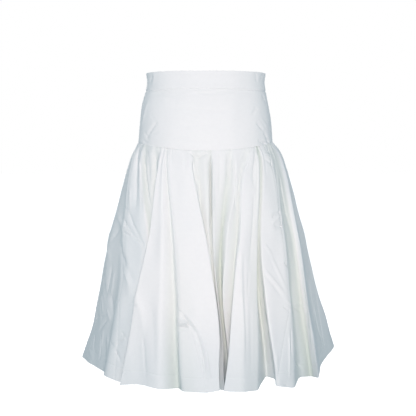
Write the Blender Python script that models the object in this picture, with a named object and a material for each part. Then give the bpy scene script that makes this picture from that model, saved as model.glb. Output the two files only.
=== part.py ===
"""Godet skirt: waistband, deep hip yoke and a full folded skirt with godets let in at its hem.

Metres, +Z up, the front faces -Y. The origin is the middle of the waist opening, level with the top
edge of the waistband, where a wearer's waist holds the skirt. Depths are measured down from there.
Angles run round the body from the centre front (0), positive towards +X, +-180 at the centre back.
"""

import math

import bmesh
import bpy
from mathutils import Vector

MM = 0.001

# Driving dimensions, millimetres.
BAND_DEPTH = 44.0          # waistband, top edge to its seam
SEAM_SIDE_DEPTH = 167.0    # yoke seam below the waist at the sides
SEAM_FRONT_DIP = 20.0      # how much lower the yoke seam lies at the centre front
SEAM_BACK_DIP = 12.0       # and at the centre back
SEAM_DIP_POWER = 1.3       # how soon the dip starts away from the sides
SQUARENESS = 2.25          # exponent of every ring round the body; 2 is a plain ellipse

BAND_WALL = 2.0            # doubled cloth with its stiffening
YOKE_WALL = 1.5
SKIRT_WALL = 1.2
HEM_WALL = 2.2             # the hem is turned up, so two layers
SEAM_GAP = 0.3             # between neighbouring pieces

# Rings of the waistband and yoke. Columns: depth, half width left, half width right, half depth
# front, half depth back.
BODY_RINGS = (
    (0, 146, 146, 104, 101),
    (20, 143.5, 143.5, 103, 100),
    (42, 147, 147, 106, 104),
    (76, 156, 153.5, 112, 112),
    (112, 160, 159.5, 117, 120),
    (150, 162.5, 162.5, 121, 125),
    (190, 165, 165, 123, 127),
)

# Rings round the outermost folds of the skirt. Columns: share of the way from the yoke seam (0) to
# the hem (1), half width left, half width right, half depth front, half depth back.
SKIRT_RINGS = (
    (0.00, 163.3, 163.3, 122, 125.5),
    (0.036, 176, 180, 131, 134),
    (0.12, 193, 199, 146, 148),
    (0.21, 207, 213, 159, 161),
    (0.315, 221, 226, 174, 174),
    (0.413, 235, 240, 188, 187),
    (0.54, 249, 254, 205, 201),
    (0.737, 270, 275, 230, 224),
    (0.867, 286, 292, 246, 240),
    (1.00, 311, 311, 259, 252),
)

# Folds, one row each, round the body from the centre back by the left side. Columns: name; angle at
# the yoke seam, at the middle and at the hem; how far it lies inside the ring just under the seam,
# at the middle and at the hem; depth of the hem below the waist there.
MIDDLE = 0.4               # share of the way down that "the middle" means
FOLDS = (
    ("back_ridge", -180, -179, -178, 0, 0, 2, 706),
    ("back_face", -170, -169, -167, 0, 0, 0, 707),
    ("back_pleat", -166, -165, -164, 5, 26, 54, 700),
    ("back_pleat_floor", -162, -160, -158, 4, 24, 46, 701),
    ("back_left_ridge_a", -157, -156, -157, 0, 0, 0, 706),
    ("back_left_face", -148, -146, -143, 0, 0, -2, 708),
    ("back_left_pleat_a", -143, -141, -138, 5, 22, 42, 701),
    ("back_left_ridge_b", -137, -136, -134, 0, 0, 0, 706),
    ("back_left_ridge_c", -128, -127, -124, 0, 0, 0, 707),
    ("back_left_pleat_b", -122, -122, -121, 5, 28, 56, 699),
    ("back_left_floor", -118, -118, -115, 4, 23, 46, 699),
    ("back_side_ridge", -113, -113, -114, 0, 0, 2, 701),
    ("back_side_face", -105, -105, -106, 0, 0, 0, 700),
    ("left_behind_corner", -99, -100, -101, 3, 12, 22, 698),
    ("left_corner", -93, -95, -97, 0, 0, 0, 699),
    ("left_side_dip", -86, -80, -86, 3, 4, 24, 701),
    ("left_godet_dip", -82, -67, -63, 2, 12, 46, 703),
    ("left_godet_ridge", -78, -60.5, -54.5, 0, 4, 14, 698),
    ("gather_valley_a", -73, -47, -46.5, 8, 12, 22, 708),
    ("gather_ridge_a", -68, -44.6, -44.5, 0, 15, 27, 708),
    ("gather_valley_b", -64.5, -42.2, -42.5, 6, 21, 33, 708),
    ("gather_ridge_b", -57, -39.7, -40.2, 0, 25, 39, 708),
    ("gather_valley_c", -49.5, -36.8, -37, 5, 32, 46, 708),
    ("left_panel_edge", -43.8, -39.7, -42.7, 0, 0, 0, 709),
    ("left_panel_dip", -42.7, -34.5, -33, 2, 4, 12, 704),
    ("left_panel_ridge", -41.4, -29.5, -22, 0, 0, 0, 710),
    ("godet_fold_valley", -39.8, -25, -14.6, 4, 15, 30, 712),
    ("godet_fold_ridge", -38.2, -21.5, -11.4, 0, 3, 0, 712),
    ("godet_right_seam", -26, -9.5, 1, 0, 0, -3, 714),
    ("main_fold_edge", -16.6, 1.4, 7.5, 0, 0, 0, 709),
    ("main_fold_valley", -12, -3, -5, 8, 22, 46, 716),
    ("centre_ridge_a", -1.1, 2.4, 1.5, 0, 11, 30, 718),
    ("centre_valley", 5.2, 4.3, 7, 5, 15, 48, 718),
    ("centre_ridge_b", 8, 5.9, 10.5, 0, 7, 31, 718),
    ("centre_ridge_c", 19.6, 9.2, 12.5, 0, 16, 49, 718),
    ("deep_valley", 25.4, 12.4, 15.2, 5, 26, 62, 718),
    ("centre_fold_edge", 30.3, 14.4, 13.6, 0, 3, 40, 716),
    ("centre_face_valley", 43.5, 23.2, 20, 5, 15, 46, 714),
    ("right_fold_edge", 47.6, 23.5, 7.8, 0, 0, 3, 712),
    ("right_face_crease", 49.4, 27, 17.4, 0, 0, -4, 713),
    ("right_panel_edge", 51.4, 36.2, 26.6, 0, 4, 14, 716),
    ("right_valley", 52.8, 36.9, 39.5, 5, 16, 72, 700),
    ("right_valley_floor", 54.2, 38.2, 39.5, 4, 12, 40, 701),
    ("bright_panel_left", 55.8, 38.8, 34, 0, 4, 2, 707),
    ("bright_panel_right", 62, 54.5, 43.5, 0, 0, 0, 716),
    ("side_valley", 68.5, 61, 55.5, 5, 15, 42, 707),
    ("side_valley_floor", 73, 68, 63.5, 4, 14, 33, 711),
    ("right_blade", 79, 69, 58, 0, 0, 0, 706),
    ("right_corner_valley", 84, 80, 73, 4, 11, 25, 691),
    ("right_corner", 90, 93, 99, 0, 0, -20, 671),
    ("right_back_pleat", 97, 101, 108, 5, 20, 42, 688),
    ("right_back_ridge", 102, 106, 113, 0, 0, 4, 697),
    ("right_back_face", 109, 113, 122, 0, 0, 0, 702),
    ("back_right_pleat_a", 114, 118, 125, 5, 26, 50, 699),
    ("back_right_floor_a", 117, 121, 130, 4, 23, 45, 700),
    ("back_right_ridge_a", 121, 124, 131, 0, 0, 0, 705),
    ("back_right_face_a", 131, 133, 141, 0, 0, -1, 707),
    ("back_right_dip", 135, 137, 145, 4, 16, 30, 703),
    ("back_right_ridge_b", 140, 142, 149, 0, 0, 2, 706),
    ("back_right_pleat_b", 147, 149, 154, 6, 31, 60, 701),
    ("back_right_floor_b", 151, 153, 159, 5, 26, 50, 701),
    ("back_right_ridge_c", 155, 157, 160, 0, 0, 0, 707),
    ("back_right_face_c", 165, 166, 170, 0, 0, 0, 708),
    ("back_centre_dip", 171, 173, 174.5, 4, 18, 40, 702),
)
# Bends of single folds' lines. Columns: fold; share of the way down where it bends most; how far above
# and below that the bend reaches; degrees that it lies aside there.
BENDS = (
    ("left_godet_ridge", 0.6, 0.25, 0.25, 2),
    ("gather_valley_a", 0.25, 0.2, 0.15, -1.5),
    ("gather_ridge_a", 0.25, 0.2, 0.15, -1.8),
    ("gather_valley_b", 0.2, 0.17, 0.2, -1.3),
    ("gather_ridge_b", 0.2, 0.17, 0.2, -1.5),
    ("gather_valley_c", 0.2, 0.15, 0.2, -1.9),
    ("left_panel_edge", 0.62, 0.25, 0.25, -1.8),
    ("main_fold_edge", 0.8, 0.4, 0.2, 1.9),
    ("main_fold_valley", 0.13, 0.13, 0.16, 2),
    ("centre_valley", 0.74, 0.34, 0.2, 2.4),
    ("centre_ridge_b", 0.8, 0.4, 0.18, 1.6),
    ("centre_fold_edge", 0.18, 0.15, 0.15, 2.4),
    ("centre_fold_edge", 0.62, 0.2, 0.25, -1.7),
    ("centre_face_valley", 0.12, 0.12, 0.3, -5.4),
    ("right_fold_edge", 0.12, 0.13, 0.3, -7),
    ("right_face_crease", 0.12, 0.13, 0.3, -3),
)
FOLD_ROUNDING = 0.24       # share of each face that its rounded fold takes up
PINCH = 0.045              # share of the way down over which folds open out from the gathered seam

# Godets, one row each. Columns: node name; the fold its point sits on; how many folds wide it is at the
# hem to the left and to the right of that fold; how it opens out to the left and right, as the power of
# the way down: below 1, fast under its point and slower at the hem.
GODETS = (
    ("godet_back", "back_ridge", 0.9, 0.85, 0.45, 0.45),
    ("godet_back_left", "back_left_ridge_c", 0.85, 0.9, 0.45, 0.45),
    ("godet_left", "left_corner", 0.9, 0.85, 0.45, 0.45),
    ("godet_front_left_outer", "left_godet_ridge", 0.8, 0.75, 0.45, 0.7),
    ("godet_front_left", "godet_fold_ridge", 0.9, 1, 0.45, 0.45),
    ("godet_front_centre", "centre_valley", 0.7, 0.72, 0.45, 0.45),
    ("godet_front_right", "bright_panel_right", 1, 0.6, 1, 0.45),
    ("godet_right", "right_corner", 0.7, 0.8, 0.45, 0.45),
    ("godet_back_right_outer", "back_right_ridge_a", 0.9, 0.8, 0.45, 0.6),
    ("godet_back_right", "back_right_ridge_c", 0.9, 0.8, 0.6, 0.45),
)
GODET_TIP = 0.14           # share of the first row that a godet's blunt tip lies below its point
GODET_SIDE_FACES = 4       # faces across each half of a godet
SEAM_ZONE = 1.0            # folds past a godet over which a gore's faces close up beside its seam
SEAM_CLEAR = 0.1           # folds between a gore's seam and the first edge of faces beside it

# Rows of faces down the skirt, as shares of the way from yoke seam to hem.
ROWS_ABOVE = (0.0, 0.022, 0.06, 0.12, 0.21, 0.315, 0.43, 0.55)
GODET_POINT = 0.68
HEM_FOLD_TOP = 0.945       # top of the turned-up hem, 28 mm above the edge
ROWS_BELOW = (0.76, 0.85, HEM_FOLD_TOP, 0.952, 1.0)
SKIRT_ROWS = ROWS_ABOVE + (GODET_POINT,) + ROWS_BELOW

# Faces of the waistband and yoke.
BODY_STEP = 6.0            # degrees round the body
YOKE_ROWS = (0.0, 0.18, 0.4, 0.64, 0.84, 1.0)
BAND_ROWS = (0.0, 0.48, 1.0)

# Nodes of the waistband and of the yoke. Columns: name ending, first angle, last angle.
BODY_PANELS = (
    ("back_left", -180, -90),
    ("front", -90, 90),
    ("back_right", 90, 180),
)

WHITE_COTTON = (0.86, 0.87, 0.89, 1.0)
COTTON_ROUGHNESS = 0.72
SHADE_STEP = 0.02          # how much each piece's colour differs, to tell them apart
SHARP_ANGLE = 50.0         # degrees; faces that meet more steeply are shaded as an edge


def smooth_value(xs, ys, x):
    """Cubic curve through the points (xs, ys), with no overshoot at the ends."""
    last = len(xs) - 1
    i = 0
    while i < last - 1 and x > xs[i + 1]:
        i += 1
    steps = [(ys[k + 1] - ys[k]) / (xs[k + 1] - xs[k]) for k in range(last)]

    def slope(k):
        if k == 0:
            return steps[0]
        if k == last:
            return steps[-1]
        before, after = xs[k] - xs[k - 1], xs[k + 1] - xs[k]
        return (steps[k - 1] * after + steps[k] * before) / (before + after)

    width = xs[i + 1] - xs[i]
    t = min(1.0, max(0.0, (x - xs[i]) / width))
    rise = ys[i + 1] - ys[i]
    bend_in = slope(i) * width - rise
    bend_out = rise - slope(i + 1) * width
    return ys[i] + rise * t + t * (1 - t) * (bend_in * (1 - t) + bend_out * t)


def ring_radius(rings, along, angle):
    """Distance from the axis to the ring at one place along its table, in one direction."""
    places = [ring[0] for ring in rings]
    side = 1 if math.sin(angle) < 0 else 2
    facing = 3 if math.cos(angle) > 0 else 4
    half_width = smooth_value(places, [ring[side] for ring in rings], along)
    half_depth = smooth_value(places, [ring[facing] for ring in rings], along)
    across = (abs(math.sin(angle)) / half_width) ** SQUARENESS
    through = (abs(math.cos(angle)) / half_depth) ** SQUARENESS
    return (across + through) ** (-1 / SQUARENESS)


def at_angle(angle, radius, depth):
    return Vector((radius * math.sin(angle), -radius * math.cos(angle), -depth))


def seam_depth(angle):
    """Depth of the yoke seam, lowest at the centre front."""
    turn = math.cos(angle)
    dip = SEAM_FRONT_DIP if turn > 0 else SEAM_BACK_DIP
    return SEAM_SIDE_DEPTH + dip * abs(turn) ** SEAM_DIP_POWER


def ease(x):
    x = min(1.0, max(0.0, x))
    return x * x * (3 - 2 * x)


def bend_at(name, down):
    """Degrees that a fold's line lies aside at this share of the way down."""
    aside = 0.0
    for fold, place, above, below, most in BENDS:
        if fold == name:
            reach = above if down < place else below
            aside += most * ease(1 - abs(down - place) / reach)
    return aside


FOLD_INDEX = {fold[0]: number for number, fold in enumerate(FOLDS)}
KEY_PLACES = (0.0, MIDDLE, 1.0)
fold_lines = {}


def fold_corners(down):
    """Where each fold's line lies at one share of the way down."""
    key = round(down, 6)
    if key not in fold_lines:
        corners = []
        for name, top, middle, hem, top_in, middle_in, hem_in, hem_depth in FOLDS:
            turn = smooth_value(KEY_PLACES, (top, middle, hem), down)
            angle = math.radians(turn + bend_at(name, down))
            inside = smooth_value(KEY_PLACES, (top_in, middle_in, hem_in), down) * ease(down / PINCH)
            seam = seam_depth(math.radians(top)) + SEAM_GAP
            depth = seam + (hem_depth - seam) * down
            corners.append(at_angle(angle, ring_radius(SKIRT_RINGS, down, angle) - inside, depth))
        fold_lines[key] = corners
    return fold_lines[key]


def skirt_point(around, down):
    """Point of the outer cloth; around counts folds, whole numbers are fold lines."""
    corners = fold_corners(down)
    count = len(corners)
    nearest = math.floor(around + 0.5)
    offset = around - nearest
    corner = corners[nearest % count]
    before = corners[(nearest - 1) % count]
    after = corners[(nearest + 1) % count]
    if offset <= -FOLD_ROUNDING:
        return corner.lerp(before, -offset)
    if offset >= FOLD_ROUNDING:
        return corner.lerp(after, offset)
    t = (offset + FOLD_ROUNDING) / (2 * FOLD_ROUNDING)
    start = corner.lerp(before, FOLD_ROUNDING)
    end = corner.lerp(after, FOLD_ROUNDING)
    return start.lerp(corner, t).lerp(corner.lerp(end, t), t)


NORMAL_STEP_AROUND = 0.1
NORMAL_STEP_DOWN = 0.01


def outward(around, down):
    """Unit vector out of the cloth, level along the yoke seam."""
    along = skirt_point(around + NORMAL_STEP_AROUND, down) - skirt_point(around - NORMAL_STEP_AROUND, down)
    fall = Vector((0, 0, -1))
    if down > 0.0:
        low = min(1.0, down + NORMAL_STEP_DOWN)
        fall = skirt_point(around, low) - skirt_point(around, down - NORMAL_STEP_DOWN)
    return fall.cross(along).normalized()


def wall_at(down):
    return HEM_WALL if down > HEM_FOLD_TOP else SKIRT_WALL


def cloth_pair(around, down):
    """Outer and inner point of the wall."""
    outer = skirt_point(around, down)
    return outer, outer - outward(around, down) * wall_at(down)


def reach_at(spread, down):
    """Folds that a godet has spread to one side at this share of the way down; spread is (folds, power)."""
    folds, power = spread
    if down <= GODET_POINT:
        return 0.0
    return folds * ((down - GODET_POINT) / (1 - GODET_POINT)) ** power


def seam_pair(centre, spread, down, side):
    """Outer and inner point of a piece's edge along a seam, on the side (+1 or -1) it lies on."""
    place = centre + reach_at(spread, down)
    low = min(1.0, down + NORMAL_STEP_DOWN)
    high = max(0.0, down - NORMAL_STEP_DOWN)
    seam_line = (skirt_point(centre + reach_at(spread, low), low)
                 - skirt_point(centre + reach_at(spread, high), high))
    aside = outward(place, down).cross(seam_line).normalized() * (side * SEAM_GAP / 2)
    outer, inner = cloth_pair(place, down)
    return outer + aside, inner + aside


def samples_between(first, last):
    """Places round a gore: both seams, and each fold's start, line and end."""
    places = [first]
    for fold in range(math.floor(first), math.ceil(last) + 1):
        for offset in (-FOLD_ROUNDING, 0.0, FOLD_ROUNDING):
            place = fold + offset
            if first + SEAM_CLEAR < place < last - SEAM_CLEAR:
                places.append(place)
    places.append(last)
    return places


def squeezed(place, seam, edge, zone_end):
    """Move a place near a seam so that the seam's own edge follows the godet beside it."""
    inside_zone = (place - seam) / (zone_end - seam)
    if inside_zone >= 1:
        return place
    return edge + (zone_end - edge) * inside_zone


def gore_grid(first, first_spread, last, last_spread):
    """Rows of (outer, inner) points of one gore between two seams."""
    places = samples_between(first, last)
    first_zone = first + first_spread[0] + SEAM_ZONE
    last_zone = last + last_spread[0] - SEAM_ZONE
    if first_zone > last_zone:
        first_zone = last_zone = (first + first_spread[0] + last + last_spread[0]) / 2
    grid = []
    for down in SKIRT_ROWS:
        first_edge = first + reach_at(first_spread, down)
        last_edge = last + reach_at(last_spread, down)
        row = []
        for place in places[1:-1]:
            place = squeezed(place, first, first_edge, first_zone)
            place = squeezed(place, last, last_edge, last_zone)
            row.append(cloth_pair(place, down))
        row.insert(0, seam_pair(first, first_spread, down, 1))
        row.append(seam_pair(last, last_spread, down, -1))
        grid.append(row)
    return grid


def between_pairs(pair_a, pair_b, share):
    return pair_a[0].lerp(pair_b[0], share), pair_a[1].lerp(pair_b[1], share)


def godet_grid(centre, left_spread, right_spread):
    """Rows of (outer, inner) points of one godet, from its blunt tip to the hem."""
    def row_at(down):
        row = [seam_pair(centre, left_spread, down, 1)]
        for step in range(1 - GODET_SIDE_FACES, GODET_SIDE_FACES):
            spread = left_spread if step < 0 else right_spread
            row.append(cloth_pair(centre + reach_at(spread, down) * abs(step) / GODET_SIDE_FACES, down))
        row.append(seam_pair(centre, right_spread, down, -1))
        return row

    rows = [row_at(down) for down in ROWS_BELOW]
    point_left = seam_pair(centre, left_spread, GODET_POINT, 1)
    point_right = seam_pair(centre, right_spread, GODET_POINT, -1)
    tip_left = between_pairs(point_left, rows[0][0], GODET_TIP)
    tip_right = between_pairs(point_right, rows[0][-1], GODET_TIP)
    across = 2 * GODET_SIDE_FACES
    tip = [between_pairs(tip_left, tip_right, step / across) for step in range(across + 1)]
    return [tip] + rows


def body_grid(first, last, rows, top_depth, bottom_depth, wall):
    """Rows of (outer, inner) points of a waistband or yoke panel between two angles."""
    count = round((last - first) / BODY_STEP)
    grid = []
    for share in rows:
        row = []
        for step in range(count + 1):
            angle = math.radians(first + (last - first) * step / count)
            depth = top_depth(angle) + (bottom_depth(angle) - top_depth(angle)) * share
            radius = ring_radius(BODY_RINGS, depth, angle)
            along = Vector((math.cos(angle), math.sin(angle), 0))
            shift = 0.0
            if step == 0:
                shift = SEAM_GAP / 2
            elif step == count:
                shift = -SEAM_GAP / 2
            outer = at_angle(angle, radius, depth) + along * shift
            inner = at_angle(angle, radius - wall, depth) + along * shift
            row.append((outer, inner))
        grid.append(row)
    return grid


def cotton(name, shade):
    material = bpy.data.materials.new(name)
    material.use_nodes = True
    shader = material.node_tree.nodes["Principled BSDF"]
    red, green, blue, alpha = WHITE_COTTON
    shader.inputs["Base Color"].default_value = (red - shade, green - shade, blue - shade, alpha)
    shader.inputs["Roughness"].default_value = COTTON_ROUGHNESS
    shader.inputs["Metallic"].default_value = 0.0
    return material


def wall_object(name, grid, shade):
    """Closed solid between a grid of outer and inner points."""
    mesh = bmesh.new()
    outer = [[mesh.verts.new(pair[0] * MM) for pair in row] for row in grid]
    inner = [[mesh.verts.new(pair[1] * MM) for pair in row] for row in grid]
    rows, columns = len(grid), len(grid[0])

    def quad(a, b, c, d, split_ac=True):
        if split_ac:
            mesh.faces.new((a, b, c))
            mesh.faces.new((a, c, d))
        else:
            mesh.faces.new((a, b, d))
            mesh.faces.new((b, c, d))

    for i in range(rows - 1):
        for j in range(columns - 1):
            a, b = outer[i][j], outer[i + 1][j]
            c, d = outer[i + 1][j + 1], outer[i][j + 1]
            shorter_ac = (a.co - c.co).length <= (b.co - d.co).length
            quad(a, b, c, d, shorter_ac)
            quad(inner[i][j], inner[i][j + 1], inner[i + 1][j + 1], inner[i + 1][j], shorter_ac)
    for j in range(columns - 1):
        quad(outer[0][j], outer[0][j + 1], inner[0][j + 1], inner[0][j])
        quad(outer[-1][j + 1], outer[-1][j], inner[-1][j], inner[-1][j + 1])
    for i in range(rows - 1):
        quad(outer[i][0], inner[i][0], inner[i + 1][0], outer[i + 1][0])
        quad(outer[i][-1], outer[i + 1][-1], inner[i + 1][-1], inner[i][-1])

    data = bpy.data.meshes.new(name)
    mesh.to_mesh(data)
    mesh.free()
    data.shade_smooth()
    data.set_sharp_from_angle(angle=math.radians(SHARP_ANGLE))
    piece = bpy.data.objects.new(name, data)
    piece.data.materials.append(cotton(name, shade))
    bpy.context.scene.collection.objects.link(piece)
    return piece


def band_top(angle):
    return 0.0


def band_bottom(angle):
    return BAND_DEPTH - SEAM_GAP


def yoke_top(angle):
    return BAND_DEPTH


def make_waistband():
    for number, (place, first, last) in enumerate(BODY_PANELS):
        grid = body_grid(first, last, BAND_ROWS, band_top, band_bottom, BAND_WALL)
        wall_object("waistband_" + place, grid, number * SHADE_STEP)


def make_yoke():
    for number, (place, first, last) in enumerate(BODY_PANELS):
        grid = body_grid(first, last, YOKE_ROWS, yoke_top, seam_depth, YOKE_WALL)
        wall_object("yoke_" + place, grid, (number + 2) * SHADE_STEP)


def godet_spreads(row):
    """A godet's spread to the left, as folds below 0, and to the right."""
    _, _, left_reach, right_reach, left_power, right_power = row
    return (-left_reach, left_power), (right_reach, right_power)


def make_gores():
    for number, godet in enumerate(GODETS):
        next_godet = GODETS[(number + 1) % len(GODETS)]
        first = FOLD_INDEX[godet[1]]
        last = FOLD_INDEX[next_godet[1]]
        if last <= first:
            last += len(FOLDS)
        _, first_spread = godet_spreads(godet)
        last_spread, _ = godet_spreads(next_godet)
        grid = gore_grid(first, first_spread, last, last_spread)
        wall_object("gore_%02d" % (number + 1), grid, (number % 3) * SHADE_STEP)


def make_godets():
    for number, godet in enumerate(GODETS):
        left_spread, right_spread = godet_spreads(godet)
        grid = godet_grid(FOLD_INDEX[godet[1]], left_spread, right_spread)
        wall_object(godet[0], grid, (3 + number % 2) * SHADE_STEP)


def main():
    for old in list(bpy.data.objects):
        bpy.data.objects.remove(old)
    make_waistband()
    make_yoke()
    make_gores()
    make_godets()


main()
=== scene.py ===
"""Looks of the godet skirt, white crisp cotton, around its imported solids.

Each solid is replaced by a fine shell of cloth on the same form, with the creases, gathers, seams and
hem that the solids leave out. Lengths are in millimetres until a mesh is made, angles in degrees round
the body from the centre front, positive towards +X. Depths are measured down from the waist.
"""
import math

import bpy
import mathutils
import numpy as np
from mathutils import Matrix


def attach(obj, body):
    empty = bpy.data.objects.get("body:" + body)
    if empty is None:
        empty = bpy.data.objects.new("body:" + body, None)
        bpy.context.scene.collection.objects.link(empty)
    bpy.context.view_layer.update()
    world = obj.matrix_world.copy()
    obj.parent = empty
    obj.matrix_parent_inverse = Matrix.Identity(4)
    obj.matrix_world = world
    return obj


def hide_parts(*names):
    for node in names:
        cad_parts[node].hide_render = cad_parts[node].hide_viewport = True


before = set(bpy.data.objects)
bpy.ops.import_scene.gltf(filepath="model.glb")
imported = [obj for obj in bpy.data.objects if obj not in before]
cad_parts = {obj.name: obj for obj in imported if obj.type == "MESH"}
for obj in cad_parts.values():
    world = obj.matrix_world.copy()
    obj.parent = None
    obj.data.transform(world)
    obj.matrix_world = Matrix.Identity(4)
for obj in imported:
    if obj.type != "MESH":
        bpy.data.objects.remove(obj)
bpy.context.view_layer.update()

MM = 0.001
QUICK_GRID, FULL_GRID = 6.0, 2.86  # spacing of the cloth's points
GRID = FULL_GRID

# ---- driving sizes, as in the solids
BAND_DEPTH = 44.0
SEAM_SIDE_DEPTH = 167.0
SEAM_FRONT_DIP = 20.0
SEAM_BACK_DIP = 12.0
SEAM_DIP_POWER = 1.3
SQUARENESS = 2.25
SEAM_GAP = 0.3

# Columns: depth, half width left, half width right, half depth front, half depth back.
BODY_RINGS = np.array((
    (0, 146, 146, 104, 101),
    (20, 143.5, 143.5, 103, 100),
    (42, 147, 147, 106, 104),
    (76, 156, 153.5, 112, 112),
    (112, 160, 159.5, 117, 120),
    (150, 162.5, 162.5, 121, 125),
    (190, 165, 165, 123, 127),
))
# Columns: share of the way from yoke seam to hem, then as above.
SKIRT_RINGS = np.array((
    (0.00, 163.3, 163.3, 122, 125.5),
    (0.036, 176, 180, 131, 134),
    (0.12, 193, 199, 146, 148),
    (0.21, 207, 213, 159, 161),
    (0.315, 221, 226, 174, 174),
    (0.413, 235, 240, 188, 187),
    (0.54, 249, 254, 205, 201),
    (0.737, 270, 275, 230, 224),
    (0.867, 286, 292, 246, 240),
    (1.00, 311, 311, 259, 252),
))
# Columns: name; angle at the yoke seam, middle and hem; how far it lies inside the ring at those
# places; depth of the hem there; how softly it is rounded, as a share of each face beside it. Only
# left_godet_ridge is rounder here than in the solids.
MIDDLE = 0.4
FOLDS = (
    ("back_ridge", -180, -179, -178, 0, 0, 2, 706, 0.3),
    ("back_face", -170, -169, -167, 0, 0, 0, 707, 0.3),
    ("back_pleat", -166, -165, -164, 5, 26, 54, 700, 0.3),
    ("back_pleat_floor", -162, -160, -158, 4, 24, 46, 701, 0.3),
    ("back_left_ridge_a", -157, -156, -157, 0, 0, 0, 706, 0.16),
    ("back_left_face", -148, -146, -143, 0, 0, -2, 708, 0.3),
    ("back_left_pleat_a", -143, -141, -138, 5, 22, 42, 701, 0.3),
    ("back_left_ridge_b", -137, -136, -134, 0, 0, 0, 706, 0.2),
    ("back_left_ridge_c", -128, -127, -124, 0, 0, 0, 707, 0.3),
    ("back_left_pleat_b", -122, -122, -121, 5, 28, 56, 699, 0.3),
    ("back_left_floor", -118, -118, -115, 4, 23, 46, 699, 0.3),
    ("back_side_ridge", -113, -113, -114, 0, 0, 2, 701, 0.16),
    ("back_side_face", -105, -105, -106, 0, 0, 0, 700, 0.3),
    ("left_behind_corner", -99, -100, -101, 3, 12, 22, 698, 0.3),
    ("left_corner", -93, -95, -97, 0, 0, 0, 699, 0.24),
    ("left_side_dip", -86, -80, -86, 3, 4, 24, 701, 0.24),
    ("left_godet_dip", -82, -67, -63, 2, 12, 46, 703, 0.24),
    ("left_godet_ridge", -78, -60.5, -54.5, 0, 4, 14, 698, 0.45),
    ("gather_valley_a", -73, -47, -46.5, 8, 12, 22, 708, 0.24),
    ("gather_ridge_a", -68, -44.6, -44.5, 0, 15, 27, 708, 0.24),
    ("gather_valley_b", -64.5, -42.2, -42.5, 6, 21, 33, 708, 0.24),
    ("gather_ridge_b", -57, -39.7, -40.2, 0, 25, 39, 708, 0.24),
    ("gather_valley_c", -49.5, -36.8, -37, 5, 32, 46, 708, 0.24),
    ("left_panel_edge", -43.8, -39.7, -42.7, 0, 0, 0, 709, 0.14),
    ("left_panel_dip", -42.7, -34.5, -33, 2, 4, 12, 704, 0.34),
    ("left_panel_ridge", -41.4, -29.5, -22, 0, 0, 0, 710, 0.3),
    ("godet_fold_valley", -39.8, -25, -14.6, 4, 15, 30, 712, 0.3),
    ("godet_fold_ridge", -38.2, -21.5, -11.4, 0, 3, 0, 712, 0.2),
    ("godet_right_seam", -26, -9.5, 1, 0, 0, -3, 714, 0.34),
    ("main_fold_edge", -16.6, 1.4, 7.5, 0, 0, 0, 709, 0.12),
    ("main_fold_valley", -12, -3, -5, 8, 22, 46, 716, 0.24),
    ("centre_ridge_a", -1.1, 2.4, 1.5, 0, 11, 30, 718, 0.24),
    ("centre_valley", 5.2, 4.3, 7, 5, 15, 48, 718, 0.2),
    ("centre_ridge_b", 8, 5.9, 10.5, 0, 7, 31, 718, 0.2),
    ("centre_ridge_c", 19.6, 9.2, 12.5, 0, 16, 49, 718, 0.24),
    ("deep_valley", 25.4, 12.4, 15.2, 5, 26, 62, 718, 0.24),
    ("centre_fold_edge", 30.3, 14.4, 13.6, 0, 3, 40, 716, 0.16),
    ("centre_face_valley", 43.5, 23.2, 20, 5, 15, 46, 714, 0.24),
    ("right_fold_edge", 47.6, 23.5, 7.8, 0, 0, 3, 712, 0.14),
    ("right_face_crease", 49.4, 27, 17.4, 0, 0, -4, 713, 0.2),
    ("right_panel_edge", 51.4, 36.2, 26.6, 0, 4, 14, 716, 0.12),
    ("right_valley", 52.8, 36.9, 39.5, 5, 16, 72, 700, 0.24),
    ("right_valley_floor", 54.2, 38.2, 39.5, 4, 12, 40, 701, 0.24),
    ("bright_panel_left", 55.8, 38.8, 34, 0, 4, 2, 707, 0.2),
    ("bright_panel_right", 62, 54.5, 43.5, 0, 0, 0, 716, 0.2),
    ("side_valley", 68.5, 61, 55.5, 5, 15, 42, 707, 0.24),
    ("side_valley_floor", 73, 68, 63.5, 4, 14, 33, 711, 0.24),
    ("right_blade", 79, 69, 58, 0, 0, 0, 706, 0.16),
    ("right_corner_valley", 84, 80, 73, 4, 11, 25, 691, 0.24),
    ("right_corner", 90, 93, 99, 0, 0, -20, 671, 0.2),
    ("right_back_pleat", 97, 101, 108, 5, 20, 42, 688, 0.3),
    ("right_back_ridge", 102, 106, 113, 0, 0, 4, 697, 0.2),
    ("right_back_face", 109, 113, 122, 0, 0, 0, 702, 0.3),
    ("back_right_pleat_a", 114, 118, 125, 5, 26, 50, 699, 0.3),
    ("back_right_floor_a", 117, 121, 130, 4, 23, 45, 700, 0.3),
    ("back_right_ridge_a", 121, 124, 131, 0, 0, 0, 705, 0.2),
    ("back_right_face_a", 131, 133, 141, 0, 0, -1, 707, 0.3),
    ("back_right_dip", 135, 137, 145, 4, 16, 30, 703, 0.3),
    ("back_right_ridge_b", 140, 142, 149, 0, 0, 2, 706, 0.2),
    ("back_right_pleat_b", 147, 149, 154, 6, 31, 60, 701, 0.3),
    ("back_right_floor_b", 151, 153, 159, 5, 26, 50, 701, 0.3),
    ("back_right_ridge_c", 155, 157, 160, 0, 0, 0, 707, 0.2),
    ("back_right_face_c", 165, 166, 170, 0, 0, 0, 708, 0.3),
    ("back_centre_dip", 171, 173, 174.5, 4, 18, 40, 702, 0.3),
)
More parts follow.
